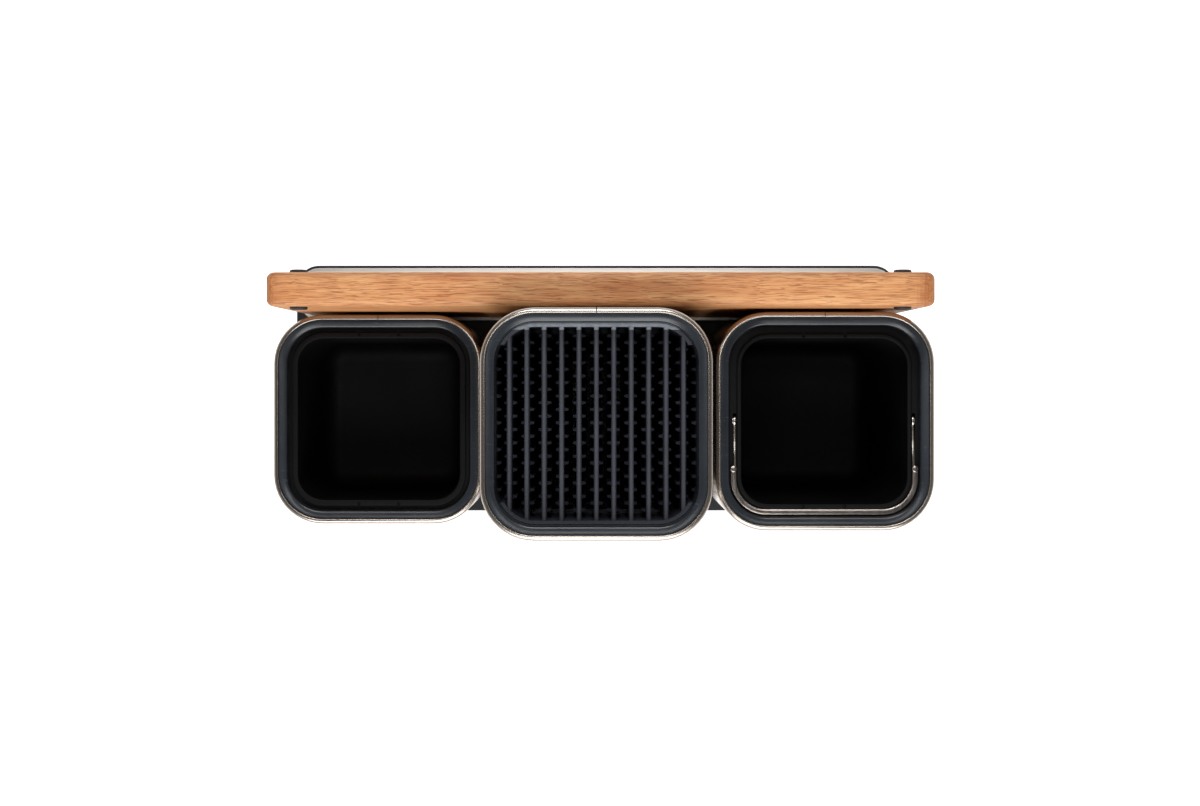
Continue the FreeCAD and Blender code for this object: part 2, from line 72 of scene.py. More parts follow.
def multiplyAdd(tree, value, factor, offset, place=(0, 0)):
    return mathWith(tree, "MULTIPLY_ADD", (value, factor, offset), place)


def mathWith(tree, operation, values, place):
    node = addNode(tree, "ShaderNodeMath", place, operation=operation)
    for socket, value in zip(node.inputs, values):
        if isinstance(value, (int, float)):
            socket.default_value = value
        else:
            tree.links.new(value, socket)
    return node.outputs[0]


def ramp(tree, value, stops, place=(0, 0)):
    node = addNode(tree, "ShaderNodeValToRGB", place)
    elements = node.color_ramp.elements
    while len(elements) < len(stops):
        elements.new(0.5)
    for element, (position, colour) in zip(elements, stops):
        element.position = position
        element.color = colour if isinstance(colour, tuple) else (colour, colour, colour, 1)
    tree.links.new(value, node.inputs["Fac"])
    return node.outputs["Color"]


def mixColour(tree, factor, first, second, place=(0, 0)):
    node = addNode(tree, "ShaderNodeMix", place, data_type="RGBA", blend_type="MIX")
    for socket, value in ((node.inputs[0], factor), (node.inputs[6], first), (node.inputs[7], second)):
        if isinstance(value, (int, float, tuple)):
            socket.default_value = value
        else:
            tree.links.new(value, socket)
    return node.outputs[2]


def newGroup(name, inputs, outputs):
    group = bpy.data.node_groups.new(name, "ShaderNodeTree")
    for label, kind, value in inputs:
        socket = group.interface.new_socket(name=label, in_out="INPUT", socket_type=kind)
        socket.default_value = value
    for label, kind in outputs:
        group.interface.new_socket(name=label, in_out="OUTPUT", socket_type=kind)
    return group, addNode(group, "NodeGroupInput", (-900, 0)), addNode(group, "NodeGroupOutput", (900, 0))


def stretchedNoise(tree, vector, stretch, detail, roughness, place):
    mapping = addNode(tree, "ShaderNodeMapping", place)
    tree.links.new(vector, mapping.inputs["Vector"])
    if isinstance(stretch, tuple):
        mapping.inputs["Scale"].default_value = stretch
    else:
        tree.links.new(stretch, mapping.inputs["Scale"])
    noise = addNode(tree, "ShaderNodeTexNoise", (place[0] + 200, place[1]))
    setInputs(noise, Scale=1.0, Detail=detail, Roughness=roughness)
    tree.links.new(mapping.outputs[0], noise.inputs["Vector"])
    return noise.outputs["Fac"]


def mouldedGroup():
    # fine spark-eroded texture of moulded plastic, with slow blotches and handling marks
    group, given, out = newGroup("mouldedSurface", [
        ("Vector", "NodeSocketVector", (0, 0, 0)), ("Grain", "NodeSocketVector", (2600, 2600, 2600)),
        ("Blotch", "NodeSocketVector", (28, 28, 28))],
        [("Height", "NodeSocketFloat"), ("Tone", "NodeSocketFloat"), ("Marks", "NodeSocketFloat")])
    grain = stretchedNoise(group, given.outputs["Vector"], given.outputs["Grain"],
                           detail=2, roughness=0.6, place=(-600, 300))
    blotch = stretchedNoise(group, given.outputs["Vector"], given.outputs["Blotch"],
                            detail=4, roughness=0.55, place=(-600, 0))
    marks = stretchedNoise(group, given.outputs["Vector"], (170, 900, 60),
                           detail=3, roughness=0.7, place=(-600, -300))
    group.links.new(grain, out.inputs["Height"])
    group.links.new(blotch, out.inputs["Tone"])
    markStops = [(0.60, 0.0), (0.74, 1.0)]
    group.links.new(ramp(group, marks, markStops, (100, -300)), out.inputs["Marks"])
    return group


def brushedGroup():
    # hairlines along one axis, plus the slow waviness of rolled sheet
    group, given, out = newGroup("brushedMetal", [
        ("Vector", "NodeSocketVector", (0, 0, 0)), ("Hairline", "NodeSocketVector", (1, 1, 1)),
        ("Wave", "NodeSocketVector", (14, 14, 14))],
        [("Height", "NodeSocketFloat"), ("Streak", "NodeSocketFloat"), ("Tone", "NodeSocketFloat")])
    fine = stretchedNoise(group, given.outputs["Vector"], given.outputs["Hairline"],
                          detail=3, roughness=0.65, place=(-600, 300))
    wave = stretchedNoise(group, given.outputs["Vector"], given.outputs["Wave"],
                          detail=3, roughness=0.5, place=(-600, 0))
    group.links.new(fine, out.inputs["Height"])
    streakStops = [(0.32, 0.0), (0.70, 1.0)]
    group.links.new(ramp(group, fine, streakStops, (100, 200)), out.inputs["Streak"])
    group.links.new(wave, out.inputs["Tone"])
    return group


def dustGroup():
    # sparse pale specks of dust, sized by the cell scale
    group, given, out = newGroup("dustSpecks", [
        ("Vector", "NodeSocketVector", (0, 0, 0)), ("Scale", "NodeSocketFloat", 260.0)],
        [("Mask", "NodeSocketFloat")])
    cells = addNode(group, "ShaderNodeTexVoronoi", (-500, 0), feature="F1")
    group.links.new(given.outputs["Vector"], cells.inputs["Vector"])
    group.links.new(given.outputs["Scale"], cells.inputs["Scale"])
    dotStops, patchStops = [(0.05, 1.0), (0.10, 0.0)], [(0.55, 0.0), (0.66, 1.0)]
    dots = ramp(group, cells.outputs["Distance"], dotStops, (-200, 100))
    patch = stretchedNoise(group, given.outputs["Vector"], (45, 45, 45),
                           detail=2, roughness=0.5, place=(-600, -300))
    where = ramp(group, patch, patchStops, (-100, -300))
    group.links.new(mathNode(group, "MULTIPLY", dots, where, (300, 0)), out.inputs["Mask"])
    return group


mouldedSurface, brushedMetal, dustSpecks = mouldedGroup(), brushedGroup(), dustGroup()
print("shader groups built")


def newMaterial(name):
    material = bpy.data.materials.new(name)
    material.use_nodes = True
    tree = material.node_tree
    shader = tree.nodes["Principled BSDF"]
    place = addNode(tree, "ShaderNodeTexCoord", (-1500, 0))
    return material, tree, shader, place.outputs["Object"]


def placeGroup(tree, group, vector, place, **values):
    node = addNode(tree, "ShaderNodeGroup", place, node_tree=group)
    tree.links.new(vector, node.inputs["Vector"])
    setInputs(node, **values)
    return node


def bump(tree, shader, height, strength, distance):
    node = addNode(tree, "ShaderNodeBump", (-250, -300))
    setInputs(node, Strength=strength, Distance=distance)
    tree.links.new(height, node.inputs["Height"])
    tree.links.new(node.outputs["Normal"], shader.inputs["Normal"])


def plastic(name, dark, light, worn, roughness, sheenSpread, dustShare=0.5, ior=1.48):
    markShare, dustColour = 0.35, linear(120, 118, 116)
    bumpStrength, bumpDepth = 0.22, 0.06 * mm
    material, tree, shader, place = newMaterial(name)
    surface = placeGroup(tree, mouldedSurface, place, (-1200, 0))
    dust = placeGroup(tree, dustSpecks, place, (-1200, -300))
    tone = ramp(tree, surface.outputs["Tone"], [(0.35, dark), (0.65, light)], (-900, 200))
    marked = mixColour(tree, mathNode(tree, "MULTIPLY", surface.outputs["Marks"], markShare), tone, worn,
                       place=(-600, 200))
    dusty = mixColour(tree, mathNode(tree, "MULTIPLY", dust.outputs["Mask"], dustShare), marked,
                      dustColour, place=(-400, 200))
    tree.links.new(dusty, shader.inputs["Base Color"])
    sheen = [(0.3, roughness - sheenSpread), (0.7, roughness + sheenSpread)]
    rough = ramp(tree, surface.outputs["Tone"], sheen, (-900, -100))
    tree.links.new(rough, shader.inputs["Roughness"])
    setInputs(shader, IOR=ior)
    bump(tree, shader, surface.outputs["Height"], bumpStrength, bumpDepth)
    return material


def steel(name, dark, light, hairline, roughness, spread, bumpStrength):
    stainShare, stainColour = 0.18, linear(150, 138, 128)
    dustRoughness, bumpDepth = 0.25, 0.02 * mm
    material, tree, shader, place = newMaterial(name)
    lines = placeGroup(tree, brushedMetal, place, (-1200, 0), Hairline=hairline)
    dust = placeGroup(tree, dustSpecks, place, (-1200, -300), Scale=420.0)
    streak = mixColour(tree, lines.outputs["Streak"], dark, light, place=(-800, 200))
    tone = mixColour(tree, mathNode(tree, "MULTIPLY", lines.outputs["Tone"], stainShare), streak,
                     stainColour, place=(-600, 200))
    tree.links.new(tone, shader.inputs["Base Color"])
    base = multiplyAdd(tree, lines.outputs["Streak"], spread, roughness, (-700, -100))
    dusty = multiplyAdd(tree, dust.outputs["Mask"], dustRoughness, base, (-500, -100))
    tree.links.new(dusty, shader.inputs["Roughness"])
    setInputs(shader, Metallic=1.0)
    bump(tree, shader, lines.outputs["Height"], bumpStrength, bumpDepth)
    return material


def warped(tree, vector, scale, amount, place):
    # moves the coordinates about slowly, so that long streaks curl
    noise = addNode(tree, "ShaderNodeTexNoise", place)
    setInputs(noise, Scale=scale, Detail=2.0)
    tree.links.new(vector, noise.inputs["Vector"])
    moved = addNode(tree, "ShaderNodeVectorMath", (place[0] + 200, place[1]), operation="MULTIPLY_ADD")
    tree.links.new(noise.outputs["Color"], moved.inputs[0])
    moved.inputs[1].default_value = amount
    tree.links.new(vector, moved.inputs[2])
    return moved.outputs[0]


def oakMaterial():
    oak = {
        "early": linear(235, 180, 124), "late": linear(196, 120, 68), "pore": linear(150, 82, 40),
        "blush": linear(196, 116, 64), "end": linear(168, 98, 54), "staveWidth": 49.3 * mm,
        "curl": (0.0, 0.0035, 0.0035), "bands": (9, 260, 260), "fibres": (56, 1400, 1400),
        "pores": (64, 1700, 1700), "patches": (16, 70, 70), "endGrain": (900, 90, 90), "endDepth": 14.0 * mm,
        "staveSpread": 0.12, "staveBase": 0.94, "bumpStrength": 0.35, "bumpDepth": 0.12 * mm,
        "curlScale": 34.0, "endShare": 0.85, "endFade": 0.4, "ior": 1.45,
        "bandStops": [(0.38, 0.0), (0.66, 0.50)], "fibreStops": [(0.42, 0.0), (0.62, 0.66)],
        "patchStops": [(0.50, 0.0), (0.72, 0.55)], "poreStops": [(0.54, 0.0), (0.63, 0.72)],
        "endStops": [(0.35, 0.45), (0.6, 1.0)], "roughStops": [(0.3, 0.42), (0.7, 0.58)]}
    material, tree, shader, place = newMaterial("oiledOak")
    split = addNode(tree, "ShaderNodeSeparateXYZ", (-1300, 300))
    tree.links.new(place, split.inputs[0])
    stave = mathNode(tree, "FLOOR", mathNode(tree, "DIVIDE", split.outputs["Z"], oak["staveWidth"]), 0)
    staveTone = addNode(tree, "ShaderNodeTexWhiteNoise", (-1000, 500), noise_dimensions="1D")
    tree.links.new(stave, staveTone.inputs["W"])
    grainPlace = warped(tree, place, oak["curlScale"], oak["curl"], (-1500, -300))
    bands = stretchedNoise(tree, grainPlace, oak["bands"], detail=3, roughness=0.6, place=(-1300, 0))
    fibre = stretchedNoise(tree, grainPlace, oak["fibres"], detail=4, roughness=0.65, place=(-1300, -300))
    pores = stretchedNoise(tree, grainPlace, oak["pores"], detail=2, roughness=0.5, place=(-1300, -600))
    patches = stretchedNoise(tree, place, oak["patches"], detail=3, roughness=0.5, place=(-1300, -900))
    wood = mixColour(tree, ramp(tree, bands, oak["bandStops"]), oak["early"], oak["late"])
    wood = mixColour(tree, ramp(tree, fibre, oak["fibreStops"]), wood, oak["late"])
    wood = mixColour(tree, ramp(tree, patches, oak["patchStops"]), wood, oak["blush"])
    poreMask = ramp(tree, pores, oak["poreStops"])
    wood = mixColour(tree, poreMask, wood, oak["pore"])
    # the sawn ends drink more oil and are darker
    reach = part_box("cutting_board")[1][0]
    outward = mathNode(tree, "ABSOLUTE", split.outputs["X"], 0)
    fadeStart, fadeEnd = reach - oak["endDepth"], reach - oak["endFade"] * oak["endDepth"]
    nearEnd = ramp(tree, outward, [(fadeStart, 0.0), (fadeEnd, oak["endShare"])])
    endNoise = stretchedNoise(tree, place, oak["endGrain"], detail=2, roughness=0.5, place=(-1300, -1200))
    endGrain = ramp(tree, endNoise, oak["endStops"])
    wood = mixColour(tree, mathNode(tree, "MULTIPLY", nearEnd, endGrain), wood, oak["end"])
    light = multiplyAdd(tree, staveTone.outputs["Value"], oak["staveSpread"], oak["staveBase"])
    toned = addNode(tree, "ShaderNodeHueSaturation", (-300, 300))
    tree.links.new(light, toned.inputs["Value"])
    tree.links.new(wood, toned.inputs["Color"])
    tree.links.new(toned.outputs[0], shader.inputs["Base Color"])
    tree.links.new(ramp(tree, fibre, oak["roughStops"]), shader.inputs["Roughness"])
    setInputs(shader, IOR=oak["ior"])
    grooves = mathNode(tree, "SUBTRACT", fibre, poreMask)
    bump(tree, shader, grooves, oak["bumpStrength"], oak["bumpDepth"])
    return material


def paintedEndHighlight(material, wall, depth, drop, pale):
    # painted highlight: paler on the insert's rear upper ends, where light catches the fins' ends, broken up
    # by noise
    tree = material.node_tree
    shader = tree.nodes["Principled BSDF"]
    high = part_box(wall)[1]
    place = addNode(tree, "ShaderNodeTexCoord", (-1500, 700))
    split = addNode(tree, "ShaderNodeSeparateXYZ", (-1300, 700))
    tree.links.new(place.outputs["Object"], split.inputs[0])
    back = mathNode(tree, "GREATER_THAN", split.outputs["Y"], high[1] - depth, (-1100, 800))
    upper = mathNode(tree, "GREATER_THAN", split.outputs["Z"], high[2] - drop, (-1100, 600))
    patchy = stretchedNoise(tree, place.outputs["Object"], (400, 400, 400),
                            detail=2, roughness=0.5, place=(-1100, 1000))
    # strength of the painted highlight, made patchy by noise
    highlightStops = [(0.3, 0.55), (0.6, 0.85)]
    ends = mathNode(tree, "MULTIPLY", back, upper)
    endHighlight = mathNode(tree, "MULTIPLY", ends, ramp(tree, patchy, highlightStops))
    before = shader.inputs["Base Color"].links[0].from_socket
    tree.links.new(mixColour(tree, endHighlight, before, pale, place=(-200, 500)), shader.inputs["Base Color"])


finishes = {
    "slate_plastic": plastic(
        "slatePlastic", linear(31, 36, 42), linear(38, 43, 49), linear(84, 88, 92),
        roughness=0.24, sheenSpread=0.03),
    # darker copy of the slate plastic: painted shade, so that the base plate's rear rim reads black
    "shaded_slate_plastic": plastic(
        "shadedSlatePlastic", linear(18, 20, 24), linear(24, 27, 31), linear(44, 47, 51),
        roughness=0.42, sheenSpread=0.05, dustShare=0.2),
    "black_plastic": plastic(
        "blackPlastic", linear(3, 3, 4), linear(6, 6, 7), linear(13, 13, 14),
        roughness=0.58, sheenSpread=0.04, dustShare=0.10, ior=1.24),
    "insert_plastic": plastic(
        "insertPlastic", linear(42, 45, 53), linear(52, 55, 64), linear(74, 77, 86),
        roughness=0.42, sheenSpread=0.05),
    "sleeve_steel": steel(
        "brushedSteel", linear(152, 145, 138), linear(190, 182, 174),
        hairline=(3, 3, 3200), roughness=0.20, spread=0.09, bumpStrength=0.16),
    "polished_steel": steel(
        "polishedSteel", linear(152, 145, 139), linear(180, 172, 165),
        hairline=(900, 40, 900), roughness=0.18, spread=0.08, bumpStrength=0.10),
    "tray_steel": steel(
        "satinSheet", linear(226, 221, 214), linear(243, 238, 231),
        hairline=(5, 1400, 1400), roughness=0.30, spread=0.08, bumpStrength=0.03),
    "oak": oakMaterial(),
    "rubber": plastic(
        "rubberPads", linear(38, 37, 36), linear(50, 48, 46), linear(84, 80, 76),
        roughness=0.62, sheenSpread=0.05),
}
# painted highlight on the fins' rear upper ends
paintedEndHighlight(finishes["insert_plastic"], "knife_insert_rear_wall", depth=3.6 * mm, drop=1.2 * mm,
           pale=linear(150, 156, 164))
print("materials built")


def bevelEdges(bm, edges, width, segments):
    bmesh.ops.bevel(bm, geom=edges, offset=width, offset_type="OFFSET", segments=segments, profile=0.5,
                    affect="EDGES", clamp_overlap=True, material=-1)


def edgesAt(bm, z):
    # the sharp edges that lie level at one height
    return [e for e in bm.edges if all(abs(v.co.z - z) < touching for v in e.verts)
            and len(e.link_faces) == 2 and e.calc_face_angle(0) > sharpTurn]


def shellRing(bm, centre, level, steps):
    # a circle whose four quarters are pushed out to the corners of a rounded square
    half, radius, z = level
    verts = bmesh.ops.create_circle(bm, cap_ends=False, radius=1, segments=4 * steps)["verts"]
    for vert in verts:
        turn = math.degrees(math.atan2(vert.co.y, vert.co.x)) % 360
        index = round(turn * 4 * steps / 360) % (4 * steps)
        quarter, step = divmod(index, steps)
        angle = math.radians(90 * quarter + 90 * step / (steps - 1))
        middle = math.radians(90 * quarter + 45)
        shift = (half - radius) * math.sqrt(2)
        vert.co = Vector((centre[0] + radius * math.cos(angle) + shift * math.cos(middle),
                          centre[1] + radius * math.sin(angle) + shift * math.sin(middle), z))
    return verts


def moveRing(verts, centre, old, new):
    # each vertex keeps its corner and its direction there, and takes the new size and height
    for vert in verts:
        for axis in (0, 1):
            offset = vert.co[axis] - centre[axis]
            side = math.copysign(1, offset)
            direction = (abs(offset) - (old[0] - old[1])) / old[1]
            vert.co[axis] = centre[axis] + side * (new[0] - new[1] + direction * new[1])
        vert.co.z = new[2]


def loftRings(centre, levels, closed):
    steps = 12
    bm = bmesh.new()
    shellRing(bm, centre, levels[0], steps)
    firstEdges = list(bm.edges)
    edges = firstEdges
    for old, new in zip(levels, levels[1:]):
        grown = bmesh.ops.extrude_edge_only(bm, edges=edges)["geom"]
        verts = [g for g in grown if isinstance(g, bmesh.types.BMVert)]
        moveRing(verts, centre, old, new)
        ends = set(verts)
        edges = [g for g in grown if isinstance(g, bmesh.types.BMEdge)
                 and g.verts[0] in ends and g.verts[1] in ends]
    if closed:
        bmesh.ops.bridge_loops(bm, edges=firstEdges + edges)
    else:
        bmesh.ops.contextual_create(bm, geom=firstEdges)
        bmesh.ops.contextual_create(bm, geom=edges)
    bmesh.ops.recalc_face_normals(bm, faces=bm.faces)
    return bm


def finishPiece(name, bm, body, slot, replaced=(), sharp=32):
    for face in bm.faces:
        face.smooth = True
    for edge in bm.edges:
        edge.smooth = len(edge.link_faces) == 2 and edge.calc_face_angle(0) < math.radians(sharp)
    mesh = bpy.data.meshes.new(name)
    bm.to_mesh(mesh)
    bm.free()
    piece = bpy.data.objects.new(name, mesh)
    bpy.context.scene.collection.objects.link(piece)
    piece.data.materials.append(finishes[slot])
    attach(piece, body)
    if replaced:
        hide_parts(*replaced)
    return piece


def addBox(bm, low, high):
    # a block between two corners
    made = bmesh.ops.create_cube(bm, size=1)["verts"]
    size = Vector(high) - Vector(low)
    middle = (Vector(high) + Vector(low)) / 2
    bmesh.ops.scale(bm, vec=size, verts=made)
    bmesh.ops.translate(bm, vec=middle, verts=made)


def addRod(bm, start, end, radius, bevel=0.0, segments=32):
    # a round bar between two points, with softened rims
    a, b = Vector(start), Vector(end)
    turn = Vector((0, 0, 1)).rotation_difference(b - a).to_matrix().to_4x4()
    made = bmesh.ops.create_cone(bm, cap_ends=True, segments=segments, radius1=radius, radius2=radius,
                                 depth=(b - a).length, matrix=Matrix.Translation((a + b) / 2) @ turn)["verts"]
    if bevel:
        rims = list({e for v in made for e in v.link_edges if len(e.link_faces) == 2
                     and e.calc_face_angle(0) > math.radians(50)})
        bevelEdges(bm, rims, bevel, segments=3)


def cutBoxes(piece, boxes):
    # takes the given blocks out of a piece
    bm = bmesh.new()
    for low, high in boxes:
        addBox(bm, low, high)
    mesh = bpy.data.meshes.new("cutter")
    bm.to_mesh(mesh)
    bm.free()
    cutter = bpy.data.objects.new("cutter", mesh)
    bpy.context.scene.collection.objects.link(cutter)
    change = piece.modifiers.new("cut", "BOOLEAN")
    change.object = cutter
    change.operation = "DIFFERENCE"
    change.solver = "EXACT"
    depsgraph = bpy.context.evaluated_depsgraph_get()
    result = bpy.data.meshes.new_from_object(piece.evaluated_get(depsgraph))
    piece.modifiers.clear()
    piece.data = result
    bpy.data.objects.remove(cutter)


cupForm = {
    "corner": 30.0 * mm, "sheet": 1.0 * mm, "hem": 3.0 * mm, "hemHeight": 8.0 * mm,
    "lipInner": 0.5 * mm, "lipOuter": 2.3 * mm, "seam": 0.5 * mm, "collarGap": 0.1 * mm,
    "collarWidth": 4.9 * mm, "recess": 1.0 * mm, "fall": 1.3 * mm, "edgeRound": 1.1 * mm,
    "rimEdge": 0.25 * mm, "collarDepth": 20.0 * mm, "ledgeDrop": 8.0 * mm,
    "ledge": 1.8 * mm, "ledgeThickness": 2.2 * mm, "skirt": 2.0 * mm, "coreDrop": 10.0 * mm}


def cupPlace(name):
    low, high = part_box(name + "_sleeve")
    centre = ((low[0] + high[0]) / 2, (low[1] + high[1]) / 2)
    return centre, (high[0] - low[0]) / 2, low[2], high[2]


def sleevePiece(name):
    centre, half, bottom, top = cupPlace(name)
    def at(inset, z):
        return (half - inset, cupForm["corner"] - inset, z)
    hemLow = top - cupForm["hemHeight"]
    bm = loftRings(centre, [at(0, bottom), at(0, top), at(cupForm["hem"], top), at(cupForm["hem"], hemLow),
                            at(cupForm["sheet"], hemLow), at(cupForm["sheet"], bottom)], closed=True)
    # the roll crowns close to the collar and falls away outwards
    bm.normal_update()
    rims = {"lipInner": [], "lipOuter": []}
    for edge in bm.edges:
        if all(abs(v.co.z - top) < touching for v in edge.verts) and edge.calc_face_angle(0) > squareTurn:
            wall = min(edge.link_faces, key=lambda face: abs(face.normal.z))
            outward = (edge.verts[0].co + edge.verts[1].co) / 2 - Vector((*centre, top))
            rims["lipOuter" if wall.normal.dot(outward) > 0 else "lipInner"].append(edge)
    for lip, edges in rims.items():
        bevelEdges(bm, edges, cupForm[lip], segments=6)
    # open butt seam in the middle of the back
    for side in (-1, 1):
        x = centre[0] + side * cupForm["seam"] / 2
        bmesh.ops.bisect_plane(bm, geom=bm.verts[:] + bm.edges[:] + bm.faces[:], dist=1e-7,
                               plane_co=(x, 0, 0), plane_no=(1, 0, 0))
    strip = [f for f in bm.faces if abs(f.calc_center_median().x - centre[0]) < cupForm["seam"] / 2
             and f.calc_center_median().y > centre[1]]
    bmesh.ops.delete(bm, geom=strip, context="FACES")
    bmesh.ops.holes_fill(bm, edges=[e for e in bm.edges if e.is_boundary], sides=0)
    bmesh.ops.recalc_face_normals(bm, faces=bm.faces)
    return finishPiece(name + "SteelSleeve", bm, "base", "sleeve_steel", (name + "_sleeve",))


def collarPiece(name, withLedge):
    centre, half, _, top = cupPlace(name)
    outer = cupForm["hem"] + cupForm["collarGap"]
    inner = outer + cupForm["collarWidth"]
    def at(inset, z):
        return (half - inset, cupForm["corner"] - inset, z)
    rimTop = top - cupForm["recess"]
    innerTop = rimTop - cupForm["fall"]
    low = top - cupForm["collarDepth"]
    ledgeTop = top - cupForm["ledgeDrop"]
    levels = [at(outer, low), at(outer, rimTop), at(inner, innerTop)]
    if withLedge:
        under = ledgeTop - cupForm["ledgeThickness"]
        levels += [at(inner, ledgeTop), at(inner + cupForm["ledge"], ledgeTop),
                   at(inner + cupForm["ledge"], under)]
    else:
        under = top - cupForm["coreDrop"]
        levels += [at(inner, under)]
    levels += [at(outer + cupForm["skirt"], under), at(outer + cupForm["skirt"], low)]
    bm = loftRings(centre, levels, closed=True)
    for z, width, segments in ((innerTop, cupForm["edgeRound"], 5), (rimTop, cupForm["rimEdge"], 2)):
        bevelEdges(bm, edgesAt(bm, z), width, segments)
    return finishPiece(name + "Collar", bm, "base", "slate_plastic", (name + "_collar",))


for cupName in ("left", "centre", "right"):
    sleevePiece(cupName)
    collarPiece(cupName, cupName != "centre")
print("sleeves and collars made")


linerForm = {
    "left": {"node": "left_liner", "piece": "leftLiner", "step": 6.4 * mm, "rim": 3.8 * mm},
    "right": {"node": "right_bucket", "piece": "rightBucket", "step": 7.4 * mm, "rim": 2.7 * mm},
    "wall": 1.8 * mm, "floor": 2.0 * mm, "draft": 2.2 * mm, "bottomRound": 4.4 * mm,
    "floorRound": 12.0 * mm, "corner": 16.0 * mm, "flange": 1.6 * mm, "flangeEdge": 0.3 * mm,
    "rimRise": 1.8 * mm, "rimRound": 0.6 * mm, "liftGap": 0.3 * mm, "overcut": 1.0 * mm,
    "slotClear": 0.01 * mm, "apart": 0.1 * mm,
    "notchAt": 12.2 * mm, "notchWidth": 1.5 * mm, "notchDepth": 2.4 * mm}
collarInner = cupForm["hem"] + cupForm["collarGap"] + cupForm["collarWidth"]


def linerPiece(side):
    form = linerForm[side]
    centre, cupHalf, _, top = cupPlace(side)
    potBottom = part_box(form["node"])[0][2]
    inner = cupHalf - collarInner
    half = inner - form["step"]
    corner = linerForm["corner"]
    wall, draft = linerForm["wall"], linerForm["draft"]
    flangeLow = top - cupForm["ledgeDrop"]
    flangeTop = flangeLow + linerForm["flange"]
    rimTop = flangeTop + linerForm["rimRise"]
    rimHalf = half + form["rim"]
    flangeHalf = inner - linerForm["liftGap"]
    flangeCorner = cupForm["corner"] - (cupHalf - flangeHalf)
    floorTop = potBottom + linerForm["floor"]
    levels = [(half + wall - draft, corner + wall, potBottom), (half + wall, corner + wall, flangeLow),
              (flangeHalf, flangeCorner, flangeLow), (flangeHalf, flangeCorner, flangeTop),
              (rimHalf, corner + form["rim"], flangeTop), (rimHalf, corner + form["rim"], rimTop),
              (half, corner, rimTop), (half - draft, corner, floorTop)]
    bm = loftRings(centre, levels, closed=False)
    rounds = ((potBottom, "bottomRound", 5), (floorTop, "floorRound", 9), (rimTop, "rimRound", 3))
    for z, kind, segments in rounds:
        bevelEdges(bm, edgesAt(bm, z), linerForm[kind], segments)

    def reach(vert):
        return max(abs(vert.co.x - centre[0]), abs(vert.co.y - centre[1]))

    outerEdge = [e for e in edgesAt(bm, flangeTop) if reach(e.verts[0]) > rimHalf + linerForm["apart"]]
    bevelEdges(bm, outerEdge, linerForm["flangeEdge"], segments=2)
    body = "left_liner" if side == "left" else "right_bucket"
    piece = finishPiece(form["piece"], bm, body, "black_plastic", (form["node"],))
    cuts = []
    overcut = linerForm["overcut"]
    for across in (-1, 1):
        for along in (-1, 1):
            x = centre[0] + across * linerForm["notchAt"]
            near, far = sorted((centre[1] + along * (rimHalf - linerForm["notchDepth"]),
                                centre[1] + along * (rimHalf + overcut)))
            cuts.append(((x - linerForm["notchWidth"] / 2, near, flangeTop),
                         (x + linerForm["notchWidth"] / 2, far, rimTop + overcut)))
    if side == "right":
        # long slots that the bail's arms swing through
        slotTop = flangeTop + linerForm["slotClear"]
        for across in (-1, 1):
            near, far = sorted((centre[0] + across * bailForm["slotNear"],
                                centre[0] + across * bailForm["slotFar"]))
            cuts.append(((near, centre[1] - bailForm["slotFront"], flangeLow - overcut),
                         (far, centre[1] + bailForm["slotBack"], slotTop)))
    cutBoxes(piece, cuts)
    return piece


bailForm = {
    "half": 51.6 * mm, "width": 3.4 * mm, "thickness": 1.6 * mm, "restGap": 0.2 * mm, "fold": 28.0 * mm,
    "pivotDrop": 10.2 * mm, "arm": 1.4 * mm, "armInset": 0.1 * mm, "armHeight": 4.4 * mm, "lap": 2.0 * mm,
    "eye": 3.7 * mm, "knuckle": 2.1 * mm, "slotNear": 51.5 * mm, "slotFar": 53.5 * mm,
    "slotFront": 31.0 * mm, "slotBack": 4.5 * mm,
    "stripRound": 0.5 * mm, "armEdge": 0.25 * mm, "armDrop": 0.1 * mm, "eyeEdge": 0.3 * mm,
    "knuckleEdge": 0.5 * mm, "knuckleRise": 0.3 * mm, "knuckleTrim": 0.1 * mm, "turnSteps": 14}
linerPiece("left")
linerPiece("right")
print("liners made")


